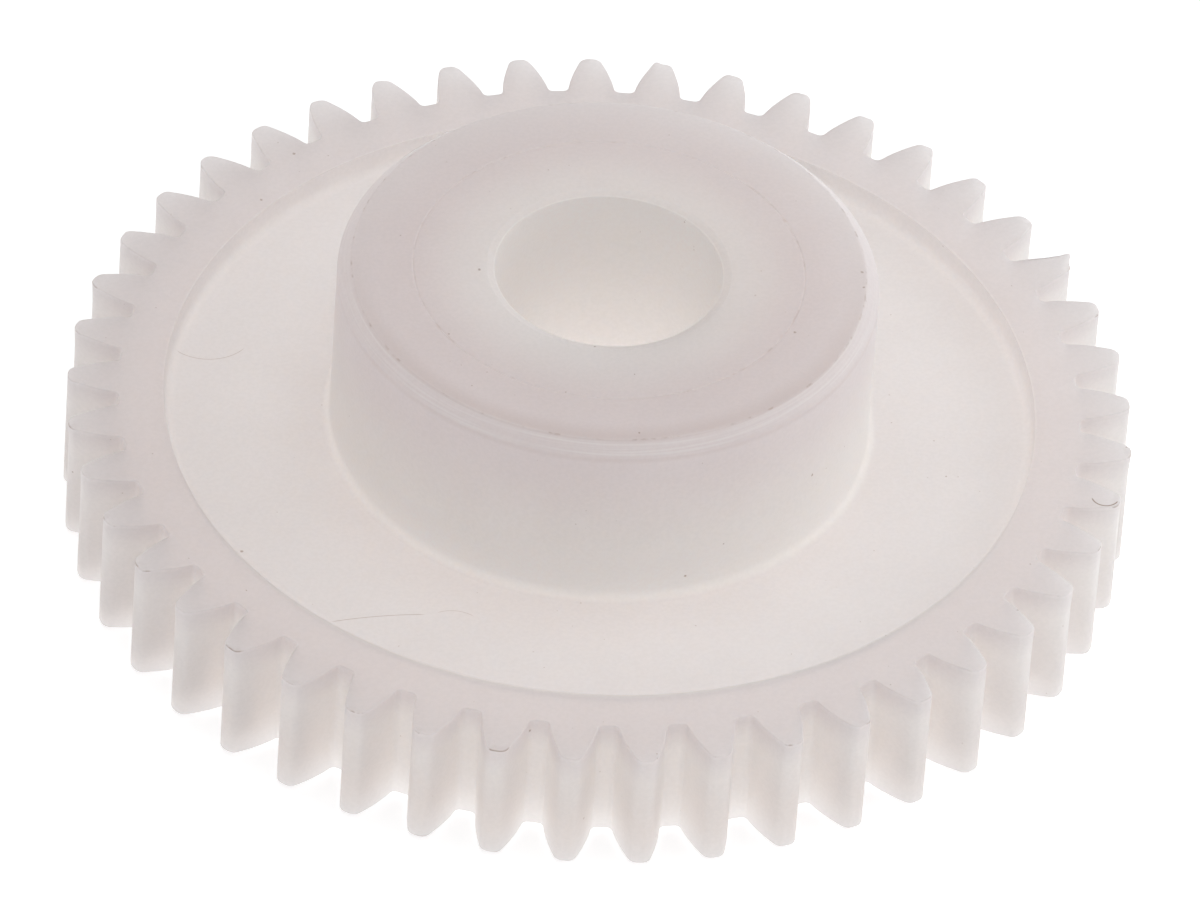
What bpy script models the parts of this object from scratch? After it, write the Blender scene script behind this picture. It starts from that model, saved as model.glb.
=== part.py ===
"""A spur gear with a hub on one side, moulded in one piece from white acetal.

The gear stands on its flat back face. +Z runs along the bore towards the hub, the origin is
the centre of the bore at the back face, and a tooth is centred on +X. Lengths are in metres.
"""

import math

import bmesh
import bpy

MM = 0.001

# Teeth: a standard involute rack form, cut to full depth.
MODULE = 1.0 * MM
TOOTH_COUNT = 45
PRESSURE_ANGLE = math.radians(20)
ADDENDUM = 1.0 * MODULE
DEDENDUM = 1.25 * MODULE
TIP_ROUNDING = 0.22 * MM
ROOT_ROUNDING = 0.28 * MM
FACE_WIDTH = 6.0 * MM

# Body: a shallow recess between the toothed rim and the hub, on the hub's side only.
RECESS_RADIUS = 19.25 * MM
RECESS_DEPTH = 1.0 * MM
RECESS_DRAFT = 0.1 * MM  # how far the recess narrows from its mouth to its floor
RECESS_FILLET = 0.35 * MM
HUB_RADIUS = 11.9 * MM
HUB_STANDOUT = 7.7 * MM  # above the toothed rim's face
HUB_CHAMFER = 0.6 * MM
HUB_FILLET = 0.4 * MM
BORE_RADIUS = 5.0 * MM
BORE_MOUTH_WIDTH = 0.35 * MM  # the shallow bevel around the bore on the hub's face
BORE_MOUTH_DEPTH = 0.12 * MM
BORE_BACK_CHAMFER = 0.3 * MM

# How finely curves are divided.
TURN_STEPS = 3 * TOOTH_COUNT
FLANK_STEPS = 4
ROUNDING_STEPS = 2
FILLET_STEPS = 3

PITCH_RADIUS = MODULE * TOOTH_COUNT / 2
BASE_RADIUS = PITCH_RADIUS * math.cos(PRESSURE_ANGLE)
TIP_RADIUS = PITCH_RADIUS + ADDENDUM
ROOT_RADIUS = PITCH_RADIUS - DEDENDUM
OVERALL_LENGTH = FACE_WIDTH + HUB_STANDOUT
CUT_MARGIN = 1.0 * MM  # how far the blank and the tooth form run past the surfaces they cut


def involute(angle):
    """The polar angle that an involute has turned where its pressure angle is this."""
    return math.tan(angle) - angle


def pressure_angle_at(radius):
    return math.acos(BASE_RADIUS / radius)


def half_tooth_angle(radius):
    """The polar angle from a tooth's middle to its flank at this radius."""
    at_pitch = math.pi / (2 * TOOTH_COUNT)
    return at_pitch + involute(PRESSURE_ANGLE) - involute(pressure_angle_at(radius))


def polar_point(radius, angle):
    return radius * math.cos(angle), radius * math.sin(angle)


def rounding_arc(centre_radius, size, side):
    """Points of the arc that rounds a flank into the tip circle (side 1) or the root circle (side -1).

    A curve parallel to an involute is an involute of the same base circle, turned by the
    distance between them over the base radius, so the arc's centre has a closed form.
    """
    centre_angle = half_tooth_angle(centre_radius) - side * size / BASE_RADIUS
    centre = polar_point(centre_radius, centre_angle)
    sweep = math.pi / 2 - pressure_angle_at(centre_radius)
    arc = []
    for step in range(ROUNDING_STEPS + 1):
        direction = centre_angle + sweep * (1 - step / ROUNDING_STEPS)
        x = centre[0] + side * size * math.cos(direction)
        y = centre[1] + side * size * math.sin(direction)
        arc.append((x, y))
    return arc


def half_tooth_outline():
    """Points from the root circle up one flank to the tip circle, for a tooth centred on +X."""
    root_arc = rounding_arc(ROOT_RADIUS + ROOT_ROUNDING, ROOT_ROUNDING, -1)[::-1]
    tip_arc = rounding_arc(TIP_RADIUS - TIP_ROUNDING, TIP_ROUNDING, 1)
    low, high = math.hypot(*root_arc[-1]), math.hypot(*tip_arc[0])
    flank = []
    for step in range(1, FLANK_STEPS):
        radius = low + (high - low) * step / FLANK_STEPS
        flank.append(polar_point(radius, half_tooth_angle(radius)))
    return root_arc + flank + tip_arc


def gear_outline():
    """The whole toothed outline, anticlockwise."""
    left = half_tooth_outline()
    right = [(x, -y) for x, y in left]
    outline = []
    for tooth in range(TOOTH_COUNT):
        angle = 2 * math.pi * tooth / TOOTH_COUNT
        c, s = math.cos(angle), math.sin(angle)
        outline += [(c * x - s * y, s * x + c * y) for x, y in right + left[::-1]]
    return outline


def fillet(corner_radius, corner_z, size, side):
    """Profile points of a hollow fillet between a wall and the floor at its foot.

    side is 1 where the wall stands outside the floor, and -1 where it stands inside it. The
    points run from the wall down to the floor.
    """
    centre = corner_radius - side * size, corner_z + size
    points = []
    for step in range(FILLET_STEPS + 1):
        angle = math.pi / 2 * step / FILLET_STEPS
        points.append((centre[0] + side * size * math.cos(angle), centre[1] - size * math.sin(angle)))
    return points


def blank_profile():
    """The turned blank's section as (radius, z), from the bore's back edge round to it again."""
    floor = FACE_WIDTH - RECESS_DEPTH
    top = OVERALL_LENGTH
    rim = TIP_RADIUS + CUT_MARGIN
    mouth_radius = BORE_RADIUS + BORE_MOUTH_WIDTH
    bore = [
        (BORE_RADIUS + BORE_BACK_CHAMFER, 0),
        (BORE_RADIUS, BORE_BACK_CHAMFER),
        (BORE_RADIUS, top - BORE_MOUTH_DEPTH),
        (mouth_radius, top),
    ]
    hub = [(HUB_RADIUS - HUB_CHAMFER, top), (HUB_RADIUS, top - HUB_CHAMFER)]
    hub += fillet(HUB_RADIUS, floor, HUB_FILLET, -1)
    recess = fillet(RECESS_RADIUS - RECESS_DRAFT, floor, RECESS_FILLET, 1)[::-1]
    recess.append((RECESS_RADIUS, FACE_WIDTH))
    return bore + hub + recess + [(rim, FACE_WIDTH), (rim, 0)]


def new_object(name, mesh_data):
    """An object made from bmesh data, shaded smooth except at real edges."""
    bmesh.ops.recalc_face_normals(mesh_data, faces=mesh_data.faces)
    mesh = bpy.data.meshes.new(name)
    mesh_data.to_mesh(mesh)
    mesh_data.free()
    mesh.shade_smooth()
    mesh.set_sharp_from_angle(angle=math.radians(25))
    made = bpy.data.objects.new(name, mesh)
    bpy.context.scene.collection.objects.link(made)
    return made


def turned_blank():
    """The gear before its teeth are cut: its section spun about the bore's axis."""
    work = bmesh.new()
    points = [work.verts.new((radius, 0, z)) for radius, z in blank_profile()]
    edges = [work.edges.new(pair) for pair in zip(points, points[1:] + points[:1])]
    bmesh.ops.spin(
        work,
        geom=points + edges,
        cent=(0, 0, 0),
        axis=(0, 0, 1),
        angle=2 * math.pi,
        steps=TURN_STEPS,
        use_merge=True,
    )
    return new_object("gear", work)


def tooth_form():
    """A prism of the toothed outline, long enough to trim the whole blank."""
    work = bmesh.new()
    ring = [work.verts.new((x, y, -CUT_MARGIN)) for x, y in gear_outline()]
    face = work.faces.new(ring)
    grown = bmesh.ops.extrude_face_region(work, geom=[face])
    moved = [item for item in grown["geom"] if isinstance(item, bmesh.types.BMVert)]
    bmesh.ops.translate(work, vec=(0, 0, OVERALL_LENGTH + 2 * CUT_MARGIN), verts=moved)
    form = new_object("tooth_form", work)
    form.hide_render = True
    form.display_type = "WIRE"
    return form


def acetal():
    """Natural white acetal: a milky, slightly warm plastic with a satin skin."""
    material = bpy.data.materials.new("white_acetal")
    material.use_nodes = True
    shader = material.node_tree.nodes["Principled BSDF"]
    shader.inputs["Base Color"].default_value = (0.78, 0.75, 0.73, 1)
    shader.inputs["Roughness"].default_value = 0.4
    shader.inputs["Metallic"].default_value = 0.0
    return material


def make_gear():
    gear = turned_blank()
    gear.data.materials.append(acetal())
    trim = gear.modifiers.new("teeth", "BOOLEAN")
    trim.operation = "INTERSECT"
    trim.solver = "EXACT"
    trim.object = tooth_form()


def main():
    for old in list(bpy.data.objects):
        bpy.data.objects.remove(old)
    make_gear()


main()
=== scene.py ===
"""The looks of a spur gear moulded in white acetal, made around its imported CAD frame.

The frame has its origin at the centre of the bore on the back face, +Z along the bore towards
the hub, and a tooth centred on +X. Lengths are in metres.
"""

import math

import bmesh
import bpy
from mathutils import Euler, Matrix, Vector, noise


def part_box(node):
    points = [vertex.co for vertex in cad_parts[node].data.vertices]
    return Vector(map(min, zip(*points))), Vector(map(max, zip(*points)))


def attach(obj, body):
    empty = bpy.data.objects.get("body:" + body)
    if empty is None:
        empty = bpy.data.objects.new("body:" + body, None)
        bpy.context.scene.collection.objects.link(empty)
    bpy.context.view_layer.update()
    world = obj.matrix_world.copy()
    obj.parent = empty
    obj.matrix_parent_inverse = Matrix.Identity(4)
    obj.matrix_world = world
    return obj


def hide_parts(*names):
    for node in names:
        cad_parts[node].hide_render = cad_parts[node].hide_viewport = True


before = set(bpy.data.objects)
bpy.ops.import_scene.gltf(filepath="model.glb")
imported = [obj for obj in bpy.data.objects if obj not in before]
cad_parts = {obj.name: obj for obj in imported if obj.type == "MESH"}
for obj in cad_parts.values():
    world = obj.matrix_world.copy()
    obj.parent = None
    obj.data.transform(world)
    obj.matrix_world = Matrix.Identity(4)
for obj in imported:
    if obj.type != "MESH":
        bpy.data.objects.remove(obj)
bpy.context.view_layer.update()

MM = 0.001
TURN = 2 * math.pi

# The gear's form. Its module follows from the frame's width across the tooth tips.
GEAR_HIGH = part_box("gear")[1]
TOOTH_COUNT = 45
PITCH = TURN / TOOTH_COUNT  # as a polar angle
MODULE = round(2 * GEAR_HIGH.x / (TOOTH_COUNT + 2) / MM, 2) * MM
PRESSURE_ANGLE = math.radians(20)
PITCH_RADIUS = MODULE * TOOTH_COUNT / 2
BASE_RADIUS = PITCH_RADIUS * math.cos(PRESSURE_ANGLE)
TIP_RADIUS = PITCH_RADIUS + MODULE
ROOT_RADIUS = PITCH_RADIUS - 1.25 * MODULE
TIP_ROUNDING = 0.45 * MM
ROOT_ROUNDING = 0.26 * MM
EDGE_ROUNDING = 0.05 * MM  # along the tooth outline, on both faces

FACE_WIDTH = 6.0 * MM
HUB_END = GEAR_HIGH.z
RIM_INNER_RADIUS = 20.7 * MM  # a construction line between the turned body and the teeth
RECESS_RADIUS = 19.25 * MM
WEB_FACE = 5.0 * MM
HUB_RADIUS = 11.9 * MM
HUB_CHAMFER = 0.6 * MM
CHAMFER_INNER_RADIUS = HUB_RADIUS - HUB_CHAMFER
WITNESS_RADIUS = 8.6 * MM
WITNESS_DEPTH = 0.035 * MM
BORE_RADIUS = 5.0 * MM
BORE_MOUTH_RADIUS = 5.38 * MM

# The cutter's burr along each crest's upper edge, and its larger lumps: (degrees, height, spread).
BURR_REACH = 0.3 * MM
BURR_HEIGHT = 0.11 * MM
BURR_GRAIN = 0.55 * MM
BURR_COVER = 0.15  # at 0 it is absent from half of the edge, and at 1 from none
BURR_LUMPS = [
    (24.8, 0.45 * MM, 0.28 * MM),
    (80.8, 0.12 * MM, 0.2 * MM),
    (-158.2, 0.14 * MM, 0.25 * MM),
]

# The share of light that goes into the plastic rather than coming back off its skin.
MILKINESS = 0.55

# The plastic's colour, the painted shade that it is mixed with in zones, a pale turning-mark colour that
# is partly a painted highlight, and the dirt of the marks.
PLASTIC = (1.0, 0.94, 0.91, 1)
WEB_PAINTED_SHADE = (0.84, 0.8, 0.8, 1)
HUB_PAINTED_SHADE = (0.79, 0.705, 0.71, 1)
BORE_PAINTED_SHADE = (0.84, 0.8, 0.79, 1)
RIM_PAINTED_SHADE = (0.84, 0.765, 0.77, 1)
TOOTH_WALL_PAINTED_SHADE = (0.68, 0.61, 0.59, 1)
HUB_EDGE_PAINTED_SHADE = (0.6, 0.5, 0.48, 1)
TURNING_MARK_HIGHLIGHT = (0.97, 0.94, 0.93, 1)
DIRT = (0.26, 0.14, 0.08, 1)

# Scratches: strength, then the values that arc_mark takes.
SCRATCHES = [
    (0.35, (-17.1, 5.85, 2.05, -98, 62, 5.0, 0.035)),
    (0.45, (-8.0, -32.0, 19.0, 97, 6.5, 5.0, 0.035)),
    (0.3, (-7.1, -14.2, 1.45, 82, 34, 5.0, 0.03)),
    (0.9, (21.95, -6.2, 0.6, -100, 75, 6.0, 0.05)),
]

# Lights: name, azimuth and elevation in degrees, power in watts, colour.
LIGHTS = [
    ("top", 0, 90, 2.45, (1, 0.98, 0.93)),
    ("right", 90, 12, 1.95, (1, 0.98, 0.95)),
    ("right_behind", 135, 12, 1.35, (0.87, 0.95, 1)),
    ("left_behind", 225, 12, 0.6, (1, 0.75, 0.62)),
    ("left_front", 305, 12, 0.25, (1, 0.97, 0.96)),
]
LIGHT_DISTANCE = 0.8
LIGHT_WIDTH = 0.7
FLOOR_RADIUS = 4.0
FLOOR_GAP = 0.2 * MM  # below the gear's back face
FLOOR_GLOW = 0.52
FLOOR_GLOW_UNDER_HUB = 0.66
WORLD_GLOW = 0.29

CAMERA_AZIMUTH, CAMERA_ELEVATION, CAMERA_ROLL = -5.69, 41.34, 4.05  # degrees
CAMERA_AIM = Vector((-0.2 * MM, -4.0 * MM, FACE_WIDTH))
CAMERA_DISTANCE = 693.6 * MM
LENS_LENGTH, SENSOR_WIDTH = 473.6, 36  # mm

# How finely the surfaces are divided.
STEPS_PER_TOOTH = 8
FLANK_STEPS = 9
TIP_STEPS = 7
ROOT_STEPS = 4
EDGE_STEPS = 3
CORNER_STEPS = 5
WALL_ROWS = 6
LONGEST_STEP = 1.0 * MM
EDGE_GUARD = 0.03 * MM  # a row of faces this wide beside a rounding keeps the next faces' shading flat


def involute(angle):
    return math.tan(angle) - angle


def polar(radius, angle):
    return Vector((radius * math.cos(angle), radius * math.sin(angle)))


def half_tooth_angle(radius):
    """The polar angle from a tooth's middle to its flank at this radius."""
    at_pitch = PITCH / 4
    return at_pitch + involute(PRESSURE_ANGLE) - involute(math.acos(BASE_RADIUS / radius))


def corner_arc(centre_radius, size, side, inset, steps):
    """The arc between a flank and the tip circle (side 1) or the root circle (side -1).

    size is the arc's radius on the tooth outline itself, and inset moves the outline into the
    material. A curve parallel to an involute is the same involute turned about the centre.
    """
    centre_angle = half_tooth_angle(centre_radius) - side * size / BASE_RADIUS
    centre = polar(centre_radius, centre_angle)
    sweep = math.pi / 2 - math.acos(BASE_RADIUS / centre_radius)
    reach = side * size - inset
    return [
        centre + polar(reach, centre_angle + sweep * (1 - step / steps))
        for step in range(steps + 1)
    ]


def half_tooth(inset):
    """Points up one flank of the tooth on +X, from the middle of the root land to the tip's."""
    root_arc = corner_arc(ROOT_RADIUS + ROOT_ROUNDING, ROOT_ROUNDING, -1, inset, ROOT_STEPS)[::-1]
    tip_arc = corner_arc(TIP_RADIUS - TIP_ROUNDING, TIP_ROUNDING, 1, inset, TIP_STEPS)
    low, high = root_arc[-1].length, tip_arc[0].length
    flank = []
    for step in range(1, FLANK_STEPS):
        radius = low + (high - low) * step / FLANK_STEPS
        flank.append(polar(radius, half_tooth_angle(radius) - inset / BASE_RADIUS))
    root_middle = polar(ROOT_RADIUS - inset, PITCH / 2)
    tip_middle = polar(TIP_RADIUS - inset, 0)
    return [root_middle] + root_arc + flank + tip_arc + [tip_middle]


def burr(point):
    """How far, and which way, the cutter's burr moves this point of the tooth outline."""
    near_tip = min(max((point.xy.length - TIP_RADIUS) / BURR_REACH + 1, 0), 1)
    below_face = (FACE_WIDTH - EDGE_ROUNDING / 2 - point.z) / BURR_REACH
    ragged = max(noise.noise(point / BURR_GRAIN) + BURR_COVER, 0)
    outward = point.xy.normalized().to_3d()
    move = outward * BURR_HEIGHT * ragged * near_tip * math.exp(-4 * below_face ** 2)
    for degrees, lump, spread in BURR_LUMPS:
        centre = polar(TIP_RADIUS, math.radians(degrees)).to_3d() + Vector((0, 0, FACE_WIDTH))
        swell = lump * math.exp(-((point - centre).length / spread) ** 2)
        move += (outward * 0.7 + Vector((0, 0, 0.5))) * swell
    return move


def tooth_ring(inset, z):
    """The whole toothed outline at height z, anticlockwise from the root before the +X tooth."""
    left = half_tooth(inset)
    right = [Vector((p.x, -p.y)) for p in left[:-1]]
    one = right + left[:0:-1]
    ring = []
    for tooth in range(TOOTH_COUNT):
        turn = Matrix.Rotation(tooth * PITCH, 2)
        points = [(turn @ p).to_3d() + Vector((0, 0, z)) for p in one]
        ring += [point + burr(point) for point in points]
    return ring


def circle_ring(radius, z):
    count = TOOTH_COUNT * STEPS_PER_TOOTH
    start = -PITCH / 2
    return [
        polar(radius, start + TURN * i / count).to_3d() + Vector((0, 0, z))
        for i in range(count)
    ]


def tooth_layers():
    """(inset, z) pairs up the toothed wall, rounded into both faces and guarded beside the rounding."""
    low = EDGE_ROUNDING + EDGE_GUARD
    rounding = [(low, 0)]
    for step in range(EDGE_STEPS + 1):
        angle = math.pi / 2 * step / EDGE_STEPS
        inset = EDGE_ROUNDING * (1 - math.sin(angle))
        rounding.append((inset, EDGE_ROUNDING * (1 - math.cos(angle))))
    rounding.append((0, low))
    wall = FACE_WIDTH - 2 * low
    middle = [(0, low + wall * row / WALL_ROWS) for row in range(1, WALL_ROWS)]
    top = [(inset, FACE_WIDTH - z) for inset, z in reversed(rounding)]
    return rounding + middle + top


def rounded_section(corners):
    """A section's points from its corners (radius, z, rounding), with arcs and long lines divided."""
    points = [Vector(corners[0][:2])]
    for before, corner, after in zip(corners, corners[1:], corners[2:]):
        at = Vector(corner[:2])
        back = (Vector(before[:2]) - at).normalized()
        ahead = (Vector(after[:2]) - at).normalized()
        half_angle = back.angle(ahead) / 2
        reach = corner[2] / math.tan(half_angle)
        centre = at + (back + ahead).normalized() * corner[2] / math.sin(half_angle)
        start, end = at + back * reach - centre, at + ahead * reach - centre
        sweep = start.angle_signed(end)
        arc = [
            centre + Matrix.Rotation(-sweep * i / CORNER_STEPS, 2) @ start
            for i in range(CORNER_STEPS + 1)
        ]
        points += divided(points[-1], arc[0]) + arc
    last = Vector(corners[-1][:2])
    return points + divided(points[-1], last) + [last]


def divided(start, end):
    """Points strictly between two ends, no more than LONGEST_STEP apart, with one close to each end."""
    length = (end - start).length
    if length < 4 * EDGE_GUARD:
        return []
    count = math.ceil(length / LONGEST_STEP)
    middle = [start.lerp(end, i / count) for i in range(1, count)]
    guard = EDGE_GUARD / length
    return [start.lerp(end, guard)] + middle + [start.lerp(end, 1 - guard)]


def body_section():
    """The turned body's section from the rim's upper face, down the bore, to the rim's back."""
    groove = WITNESS_DEPTH
    corners = [
        (RIM_INNER_RADIUS, FACE_WIDTH, 0),
        (RECESS_RADIUS, FACE_WIDTH, 0.02 * MM),
        (RECESS_RADIUS - 0.1 * MM, WEB_FACE, 0.35 * MM),
        (HUB_RADIUS, WEB_FACE, 0.4 * MM),
        (HUB_RADIUS, HUB_END - HUB_CHAMFER, 0.2 * MM),
        (CHAMFER_INNER_RADIUS, HUB_END, 0.15 * MM),
        (WITNESS_RADIUS + 2 * groove, HUB_END, groove / 2),
        (WITNESS_RADIUS, HUB_END - groove, groove / 2),
        (WITNESS_RADIUS - 2 * groove, HUB_END, groove / 2),
        (BORE_MOUTH_RADIUS, HUB_END, 0.06 * MM),
        (BORE_RADIUS, HUB_END - 0.13 * MM, 0.06 * MM),
        (BORE_RADIUS, 0.3 * MM, 0.05 * MM),
        (BORE_RADIUS + 0.3 * MM, 0, 0.05 * MM),
        (RIM_INNER_RADIUS, 0, 0),
    ]
    return rounded_section(corners)


def add_rings(work, rings):
    """Adds closed rings of points and joins each to the next with quads."""
    rows = [[work.verts.new(p) for p in ring] for ring in rings]
    for lower, upper in zip(rows, rows[1:]):
        count = len(lower)
        for i in range(count):
            j = (i + 1) % count
            work.faces.new((lower[i], lower[j], upper[j], upper[i]))
    return rows[0], rows[-1]


def add_rim_face(work, outline, circle):
    """Fills one flat face of the rim, a tooth at a time, between its outline and a circle."""
    per_tooth = len(outline) // TOOTH_COUNT
    for tooth in range(TOOTH_COUNT):
        outer = [outline[(tooth * per_tooth + i) % len(outline)] for i in range(per_tooth + 1)]
        inner = [
            circle[(tooth * STEPS_PER_TOOTH + i) % len(circle)] for i in range(STEPS_PER_TOOTH + 1)
        ]
        work.faces.new(outer + inner[::-1])


def mesh_piece(name, work, material):
    mesh = bpy.data.meshes.new(name)
    bmesh.ops.recalc_face_normals(work, faces=work.faces)
    work.to_mesh(mesh)
    work.free()
    mesh.shade_smooth()
    mesh.materials.append(material)
    piece = bpy.data.objects.new(name, mesh)
    bpy.context.scene.collection.objects.link(piece)
    return piece


def make_gear(material):
    work = bmesh.new()
    wall_low, wall_high = add_rings(work, [tooth_ring(inset, z) for inset, z in tooth_layers()])
    rim_high, rim_low = add_rings(work, [circle_ring(p.x, p.y) for p in body_section()])
    add_rim_face(work, wall_high, rim_high)
    add_rim_face(work, wall_low, rim_low)
    gear = mesh_piece("moulded_gear", work, material)
    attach(gear, "root")
    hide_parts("gear")


class Recipe:
    """Short names for the shader nodes that one material is written in."""

    def __init__(self, name):
        self.material = bpy.data.materials.new(name)
        self.material.use_nodes = True
        self.tree = self.material.node_tree
        self.shader = self.tree.nodes["Principled BSDF"]

    def feed(self, socket, value):
        if isinstance(value, bpy.types.NodeSocket):
            self.tree.links.new(value, socket)
        elif value is not None:
            socket.default_value = value

    def node(self, kind, values=(), named=None, **settings):
        node = self.tree.nodes.new(kind)
        for name, value in settings.items():
            setattr(node, name, value)
        for socket, value in zip(node.inputs, values):
            self.feed(socket, value)
        for name, value in (named or {}).items():
            self.feed(node.inputs[name], value)
        return node

    def math(self, operation, *values):
        return self.node("ShaderNodeMath", values, operation=operation).outputs[0]

    def times(self, *values):
        product = values[0]
        for value in values[1:]:
            product = self.math("MULTIPLY", product, value)
        return product

    def fade(self, value, start, end, low=0.0, high=1.0):
        """low up to start and high beyond end, with a smooth change between them."""
        values = (value, start, end, low, high)
        return self.node("ShaderNodeMapRange", values, interpolation_type="SMOOTHSTEP").outputs[0]

    def band(self, value, middle, half_width):
        """1 where the value is middle, falling to 0 at half_width either side."""
        return self.fade(self.math("ABSOLUTE", self.math("SUBTRACT", value, middle)), half_width, 0.0)

    def noise(self, place, size, detail=2.0):
        named = {"Vector": place, "Scale": 1 / size, "Detail": detail}
        return self.node("ShaderNodeTexNoise", named=named).outputs["Fac"]

    def tint(self, factor, under, over):
        node = self.node("ShaderNodeMix", data_type="RGBA")
        for index, value in ((0, factor), (6, under), (7, over)):
            self.feed(node.inputs[index], value)
        return node.outputs[2]

    def scale_colour(self, colour, factor):
        node = self.node("ShaderNodeVectorMath", operation="SCALE")
        self.feed(node.inputs[0], colour)
        self.feed(node.inputs["Scale"], factor)
        return node.outputs[0]


def speckles(recipe, place, spacing, share, size):
    """A mask of small round spots, at most size across their radius, in a share of the cells."""
    named = {"Vector": place, "Scale": 1 / spacing}
    cells = recipe.node("ShaderNodeTexVoronoi", named=named)
    random = recipe.node("ShaderNodeSeparateColor", (cells.outputs["Color"],))
    chosen = recipe.math("GREATER_THAN", random.outputs[0], 1 - share)
    edge = recipe.fade(random.outputs[1], 0.0, 1.0, 0.35 * size / spacing, size / spacing)
    inside = recipe.fade(recipe.math("DIVIDE", cells.outputs["Distance"], edge), 1.0, 0.3)
    return recipe.times(chosen, inside)


def arc_mark(recipe, x, y, z, mark):
    """A mask of one thin curved scratch on a level face.

    mark is the arc's centre x and y, radius, middle angle and half sweep in degrees, the face's
    height, and the scratch's half width, with lengths in mm.
    """
    centre_x, centre_y, radius, middle, sweep, height, half_width = mark
    dx = recipe.math("SUBTRACT", x, centre_x * MM)
    dy = recipe.math("SUBTRACT", y, centre_y * MM)
    reach = recipe.math("SQRT", recipe.math("ADD", recipe.times(dx, dx), recipe.times(dy, dy)))
    line = recipe.band(reach, radius * MM, half_width * MM)
    towards = Vector((math.cos(math.radians(middle)), math.sin(math.radians(middle))))
    along = recipe.math("ADD", recipe.times(dx, towards.x), recipe.times(dy, towards.y))
    cosine = recipe.math("DIVIDE", along, reach)
    limit = math.cos(math.radians(sweep))
    inside = recipe.fade(cosine, limit, limit + (1 - limit) * 0.3)
    level = recipe.band(z, height * MM, 0.05 * MM)
    return recipe.times(line, inside, level)


def acetal():
    """White acetal: milky and see-through, matt, with fine grain, specks and handling marks, and with
    painted shade and a painted highlight mixed into its colour.
    """
    recipe = Recipe("moulded_acetal")
    place = recipe.node("ShaderNodeTexCoord").outputs["Object"]
    x, y, z = recipe.node("ShaderNodeSeparateXYZ", (place,)).outputs
    flat = recipe.node("ShaderNodeVectorMath", (place, (1, 1, 0)), operation="MULTIPLY").outputs[0]
    radius = recipe.node("ShaderNodeVectorMath", (flat,), operation="LENGTH").outputs["Value"]
    # Squeezed around the axis, so that noise read at this place is drawn out into rings.
    around = recipe.times(recipe.math("ARCTAN2", y, x), HUB_RADIUS * 0.015)
    turned = recipe.node("ShaderNodeCombineXYZ", (around, radius, z)).outputs[0]

    # Painted shade in zones and on the hub's edge, and a painted highlight on the chamfer's turning
    # marks, before the real dirt.
    colour = plastic_colour_and_painted_shade(recipe, place, y, radius, z)
    colour = recipe.tint(hub_edge_painted_shade(recipe, radius, y, z), colour, HUB_EDGE_PAINTED_SHADE)
    colour = recipe.tint(turning_marks_and_highlight(recipe, turned, radius, y, z), colour, TURNING_MARK_HIGHLIGHT)
    dirt = grime(recipe, place, x, y, z, radius)
    colour = recipe.tint(dirt, colour, DIRT)
    recipe.feed(recipe.shader.inputs["Base Color"], colour)
    milky = recipe.math("SUBTRACT", MILKINESS, recipe.times(dirt, MILKINESS))
    recipe.feed(recipe.shader.inputs["Subsurface Weight"], milky)

    grain = recipe.noise(place, 0.22 * MM, 3.0)
    patches = recipe.noise(place, 5 * MM, 2.0)
    rough = recipe.math("ADD", recipe.fade(patches, 0.3, 0.7, 0.4, 0.5), recipe.times(grain, 0.12))
    recipe.feed(recipe.shader.inputs["Roughness"], rough)
    recipe.feed(recipe.shader.inputs["Normal"], surface_bump(recipe, grain, turned, dirt, z))

    recipe.shader.inputs["IOR"].default_value = 1.48
    recipe.shader.inputs["Specular IOR Level"].default_value = 0.35
    recipe.shader.inputs["Subsurface Radius"].default_value = (1.0, 0.85, 0.75)
    recipe.shader.inputs["Subsurface Scale"].default_value = 25 * MM
    return recipe.material


def surface_bump(recipe, grain, turned, dirt, z):
    """The skin's fine grain, with turned rings on the hub's end and dirt sunk into it."""
    at_end = recipe.fade(z, HUB_END - 0.8 * MM, HUB_END - HUB_CHAMFER)
    rings = recipe.times(recipe.noise(turned, 0.16 * MM, 2.0), at_end)
    height = recipe.math("ADD", grain, recipe.times(rings, 0.8))
    height = recipe.math("SUBTRACT", height, recipe.times(dirt, 0.5))
    named = {"Height": height, "Strength": 0.35, "Distance": 0.006 * MM}
    return recipe.node("ShaderNodeBump", named=named).outputs[0]


def plastic_colour_and_painted_shade(recipe, place, y, radius, z):
    """The plastic's colour with painted shade mixed over it zone by zone, and faintly mottled."""
    colour = recipe.tint(web_painted_shade(recipe, radius, z), PLASTIC, WEB_PAINTED_SHADE)
    colour = recipe.tint(hub_painted_shade(recipe, radius, z), colour, HUB_PAINTED_SHADE)
    colour = recipe.tint(bore_painted_shade(recipe, radius, z), colour, BORE_PAINTED_SHADE)
    colour = recipe.tint(rim_painted_shade_and_light(recipe, radius, y, z), colour, RIM_PAINTED_SHADE)
    colour = recipe.tint(tooth_wall_painted_shade(recipe, radius, z), colour, TOOTH_WALL_PAINTED_SHADE)
    mottle = recipe.fade(recipe.noise(place, 4 * MM, 3.0), 0.3, 0.7, 0.985, 1.01)
    grain = recipe.fade(recipe.noise(place, 0.18 * MM, 2.0), 0.3, 0.7, 0.98, 1.01)
    return recipe.scale_colour(colour, recipe.times(mottle, grain))


def web_painted_shade(recipe, radius, z):
    """Painted shade on the web, from its face in the recess down to its back."""
    return recipe.times(
        recipe.fade(z, WEB_FACE + 0.35 * MM, WEB_FACE + 0.1 * MM),
        recipe.fade(radius, HUB_RADIUS, HUB_RADIUS + 0.4 * MM),
        recipe.fade(radius, RECESS_RADIUS + 0.05 * MM, RECESS_RADIUS - 0.55 * MM),
    )


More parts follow.
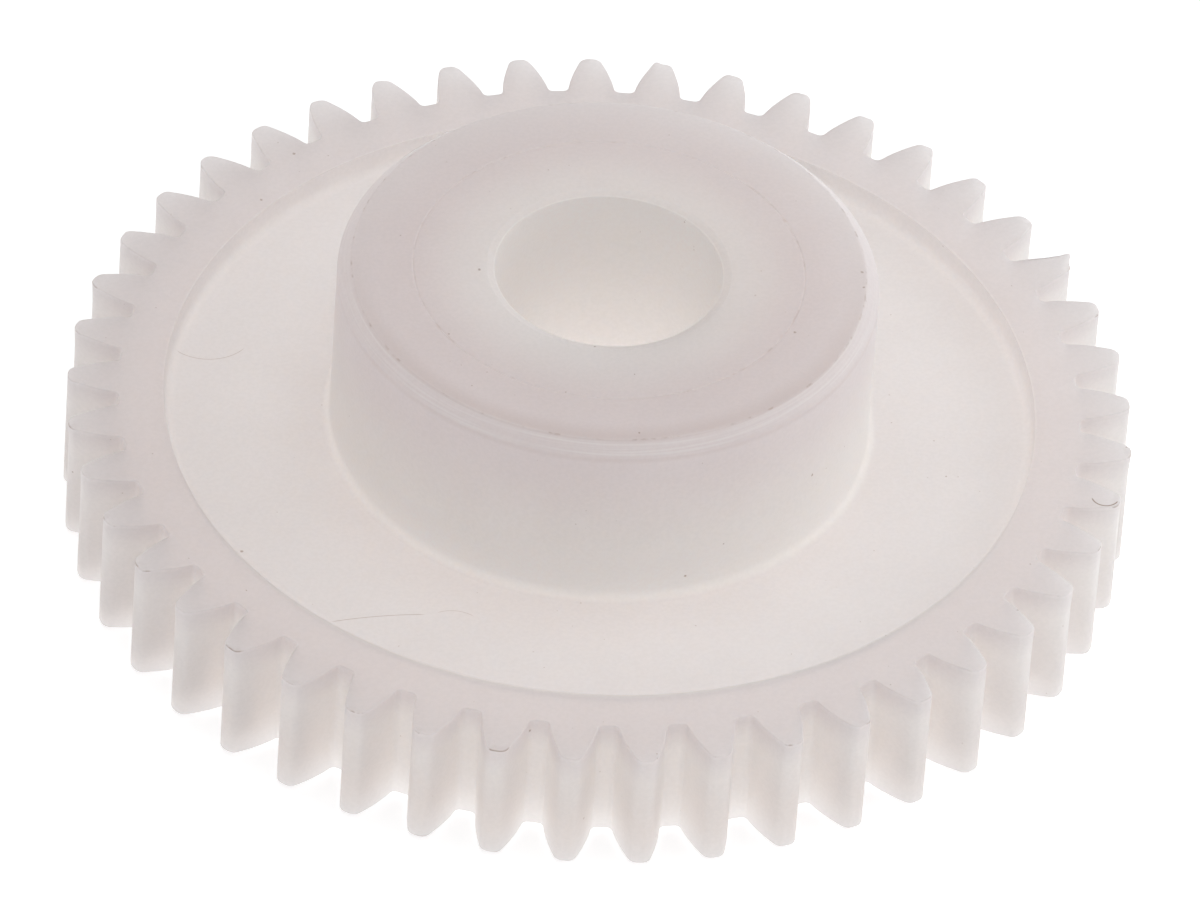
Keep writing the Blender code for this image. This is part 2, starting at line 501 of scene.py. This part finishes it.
def hub_painted_shade(recipe, radius, z):
    """Painted shade on the hub, growing towards its end face and weaker near the bore, without the
    bore's wall.
    """
    return recipe.times(
        recipe.fade(z, FACE_WIDTH + 0.5 * MM, HUB_END),
        recipe.fade(radius, BORE_RADIUS - 0.1 * MM, BORE_RADIUS + 4 * MM, 0.35, 1.0),
        recipe.fade(radius, BORE_RADIUS + 0.02 * MM, BORE_RADIUS + 0.1 * MM),
    )


def bore_painted_shade(recipe, radius, z):
    """Painted shade on the lower part of the bore's wall, darker towards its bottom."""
    return recipe.times(
        recipe.fade(z, WEB_FACE + 4 * MM, WEB_FACE, 0.0, 0.45),
        recipe.fade(radius, BORE_RADIUS + 0.1 * MM, BORE_RADIUS + 0.02 * MM),
    )


def rim_painted_shade_and_light(recipe, radius, y, z):
    """Painted shade on the rim's upper part, weaker on the recess's wall, with painted light along its
    upper edge at the front.
    """
    middle = (RECESS_RADIUS + RIM_INNER_RADIUS) / 2
    inner = recipe.times(
        recipe.fade(radius, RECESS_RADIUS - 0.55 * MM, RECESS_RADIUS + 0.05 * MM),
        recipe.fade(z, WEB_FACE - 1 * MM, WEB_FACE - 0.1 * MM),
        recipe.fade(radius, RECESS_RADIUS - 0.15 * MM, RECESS_RADIUS + 0.15 * MM, 0.4, 1.0),
        recipe.math("LESS_THAN", radius, middle),
    )
    outer = recipe.times(
        recipe.fade(z, FACE_WIDTH - 1.6 * MM, FACE_WIDTH - 0.1 * MM),
        recipe.math("GREATER_THAN", radius, middle - 0.01 * MM),
    )
    # Painted light: the shade is taken off along the recess's upper edge, at the front only.
    painted_light_edge = recipe.times(
        recipe.band(radius, RECESS_RADIUS, 0.35 * MM),
        recipe.fade(z, FACE_WIDTH - 0.1 * MM, FACE_WIDTH - 0.03 * MM),
        recipe.fade(y, -4 * MM, -14 * MM),
        0.8,
    )
    return recipe.math("SUBTRACT", recipe.math("MAXIMUM", inner, outer), painted_light_edge)


def tooth_wall_painted_shade(recipe, radius, z):
    """Painted shade on the tooth walls, growing downwards and towards the crests, and weaker at the
    upper edge.
    """
    return recipe.times(
        recipe.fade(radius, ROOT_RADIUS - 0.35 * MM, ROOT_RADIUS - 0.15 * MM),
        recipe.fade(z, FACE_WIDTH - 0.08 * MM, FACE_WIDTH - 0.22 * MM, 0.5, 1.0),
        recipe.math("LESS_THAN", z, FACE_WIDTH - 0.002 * MM),
        recipe.fade(z, FACE_WIDTH, 0.0, 0.4, 1.0),
        recipe.fade(radius, ROOT_RADIUS + 0.35 * MM, TIP_RADIUS - 0.2 * MM, 0.5, 1.0),
    )


def turning_marks_and_highlight(recipe, turned, radius, y, z):
    """Pale turning marks around the hub's chamfered edge and its bore's mouth; on the chamfer they also
    carry a painted highlight, clearest at the front.
    """
    chamfer = recipe.times(
        recipe.fade(z, HUB_END - 0.65 * MM, HUB_END - 0.5 * MM),
        recipe.fade(radius, CHAMFER_INNER_RADIUS - 0.1 * MM, CHAMFER_INNER_RADIUS + 0.05 * MM),
        recipe.fade(y, 3 * MM, -9 * MM, 0.3, 1.0),
    )
    mouth = recipe.times(
        recipe.band(radius, BORE_MOUTH_RADIUS - 0.03 * MM, 0.12 * MM),
        recipe.fade(z, HUB_END - 0.3 * MM, HUB_END - 0.2 * MM),
        0.5,
    )
    streaks = recipe.fade(recipe.noise(turned, 0.1 * MM, 3.0), 0.4, 0.7, 0.0, 0.3)
    return recipe.times(recipe.math("MAXIMUM", chamfer, mouth), streaks)


def hub_edge_painted_shade(recipe, radius, y, z):
    """Painted shade on the hub's end face next to its chamfer, and on the chamfer's lower edge,
    strongest at the front.
    """
    above = recipe.times(
        recipe.fade(radius, CHAMFER_INNER_RADIUS - 1.1 * MM, CHAMFER_INNER_RADIUS - 0.1 * MM),
        recipe.fade(radius, CHAMFER_INNER_RADIUS + 0.15 * MM, CHAMFER_INNER_RADIUS),
        recipe.fade(z, HUB_END - 0.3 * MM, HUB_END - 0.1 * MM),
    )
    below = recipe.times(
        recipe.band(z, HUB_END - 0.7 * MM, 0.25 * MM),
        recipe.fade(radius, CHAMFER_INNER_RADIUS + 0.1 * MM, CHAMFER_INNER_RADIUS + 0.3 * MM),
        0.6,
    )
    front = recipe.fade(y, 4 * MM, -8 * MM, 0.1, 1.0)
    return recipe.times(recipe.math("MAXIMUM", above, below), front, 0.4)


def grime(recipe, place, x, y, z, radius):
    """Brown specks, the soiled edges of the tooth crests and the hub, and the scratches, as one mask."""
    masks = [speck_spots(recipe, place)]
    masks += crest_soiling(recipe, place, radius, z)
    masks.append(hub_soiling(recipe, place, radius, z))
    for strength, mark in SCRATCHES:
        masks.append(recipe.times(arc_mark(recipe, x, y, z, mark), strength))
    total = masks[0]
    for mask in masks[1:]:
        total = recipe.math("MAXIMUM", total, mask)
    return total


def speck_spots(recipe, place):
    """Two sizes of brown speck, with outlines made uneven by bending the place they are read at."""
    wobble = recipe.node("ShaderNodeTexNoise", named={"Vector": place, "Scale": 1 / (0.12 * MM)})
    bend = (wobble.outputs["Color"], (0.08 * MM,) * 3, place)
    bent = recipe.node("ShaderNodeVectorMath", bend, operation="MULTIPLY_ADD").outputs[0]
    coarse = recipe.times(speckles(recipe, bent, 0.8 * MM, 0.08, 0.1 * MM), 0.55)
    fine = recipe.times(speckles(recipe, bent, 0.45 * MM, 0.1, 0.055 * MM), 0.35)
    return recipe.math("MAXIMUM", coarse, fine)


def crest_soiling(recipe, place, radius, z):
    """Broken lines of dirt along the crests' upper and lower edges, as two masks."""
    crest = recipe.fade(radius, TIP_RADIUS - 0.4 * MM, TIP_RADIUS - 0.2 * MM)
    broken = recipe.fade(recipe.noise(place, 0.8 * MM, 3.0), 0.5, 0.64)
    edges = ((FACE_WIDTH - 0.04 * MM, 0.7), (0.04 * MM, 0.5))
    return [
        recipe.times(crest, recipe.band(z, height, 0.05 * MM), broken, strength)
        for height, strength in edges
    ]


def hub_soiling(recipe, place, radius, z):
    """Spotted dirt along the chamfer's inner edge and, more faintly, in the witness ring."""
    edge_line = recipe.band(radius, CHAMFER_INNER_RADIUS, 0.07 * MM)
    ring_line = recipe.band(radius, WITNESS_RADIUS, 0.09 * MM)
    lines = recipe.math("MAXIMUM", edge_line, recipe.times(ring_line, 0.5))
    at_end = recipe.fade(z, HUB_END - 0.2 * MM, HUB_END - 0.1 * MM)
    spotted = recipe.fade(recipe.noise(place, 0.5 * MM, 3.0), 0.52, 0.7)
    return recipe.times(lines, at_end, spotted, 0.35)


def light_table():
    """A white surface lit from below, brightest where it is hidden under the hub."""
    recipe = Recipe("light_table")
    place = recipe.node("ShaderNodeTexCoord").outputs["Object"]
    radius = recipe.node("ShaderNodeVectorMath", (place,), operation="LENGTH").outputs["Value"]
    glow = recipe.fade(radius, 8 * MM, 14 * MM, FLOOR_GLOW_UNDER_HUB, FLOOR_GLOW)
    recipe.feed(recipe.shader.inputs["Emission Strength"], glow)
    recipe.shader.inputs["Base Color"].default_value = (0.9, 0.9, 0.9, 1)
    recipe.shader.inputs["Emission Color"].default_value = (0.94, 0.98, 1, 1)
    recipe.shader.inputs["Roughness"].default_value = 0.9
    return recipe.material


def make_floor():
    work = bmesh.new()
    bmesh.ops.create_circle(work, cap_ends=True, segments=64, radius=FLOOR_RADIUS)
    floor = mesh_piece("light_table", work, light_table())
    floor.location.z = -FLOOR_GAP


def direction(azimuth, elevation):
    """The unit vector towards a viewpoint; azimuth 0 is in front of the gear and 90 on its right."""
    a, e = math.radians(azimuth), math.radians(elevation)
    return Vector((math.sin(a) * math.cos(e), -math.cos(a) * math.cos(e), math.sin(e)))


def facing(back):
    """The turn that points a light or a camera the opposite way from back."""
    return (-back).to_track_quat("-Z", "Y")


def make_light(name, azimuth, elevation, power, colour):
    """A soft square light aimed at the gear."""
    data = bpy.data.lights.new(name, "AREA")
    data.size = LIGHT_WIDTH
    data.energy = power
    data.color = colour
    light = bpy.data.objects.new(name, data)
    back = direction(azimuth, elevation)
    light.location = back * LIGHT_DISTANCE
    light.rotation_euler = facing(back).to_euler()
    light.visible_camera = False
    bpy.context.scene.collection.objects.link(light)


def make_world():
    world = bpy.data.worlds.new("studio")
    world.use_nodes = True
    background = world.node_tree.nodes["Background"]
    background.inputs["Color"].default_value = (1, 0.98, 1, 1)
    background.inputs["Strength"].default_value = WORLD_GLOW
    bpy.context.scene.world = world


def make_camera():
    data = bpy.data.cameras.new("camera")
    data.lens = LENS_LENGTH
    data.sensor_width = SENSOR_WIDTH
    data.clip_start, data.clip_end = 0.01, 20
    camera = bpy.data.objects.new("camera", data)
    back = direction(CAMERA_AZIMUTH, CAMERA_ELEVATION)
    roll = Euler((0, 0, math.radians(CAMERA_ROLL))).to_quaternion()
    camera.rotation_mode = "QUATERNION"
    camera.location = CAMERA_AIM + back * CAMERA_DISTANCE
    camera.rotation_quaternion = facing(back) @ roll
    bpy.context.scene.collection.objects.link(camera)
    bpy.context.scene.camera = camera


make_gear(acetal())
make_floor()
make_world()
for light in LIGHTS:
    make_light(*light)
make_camera()
bpy.context.scene.view_settings.view_transform = "Standard"
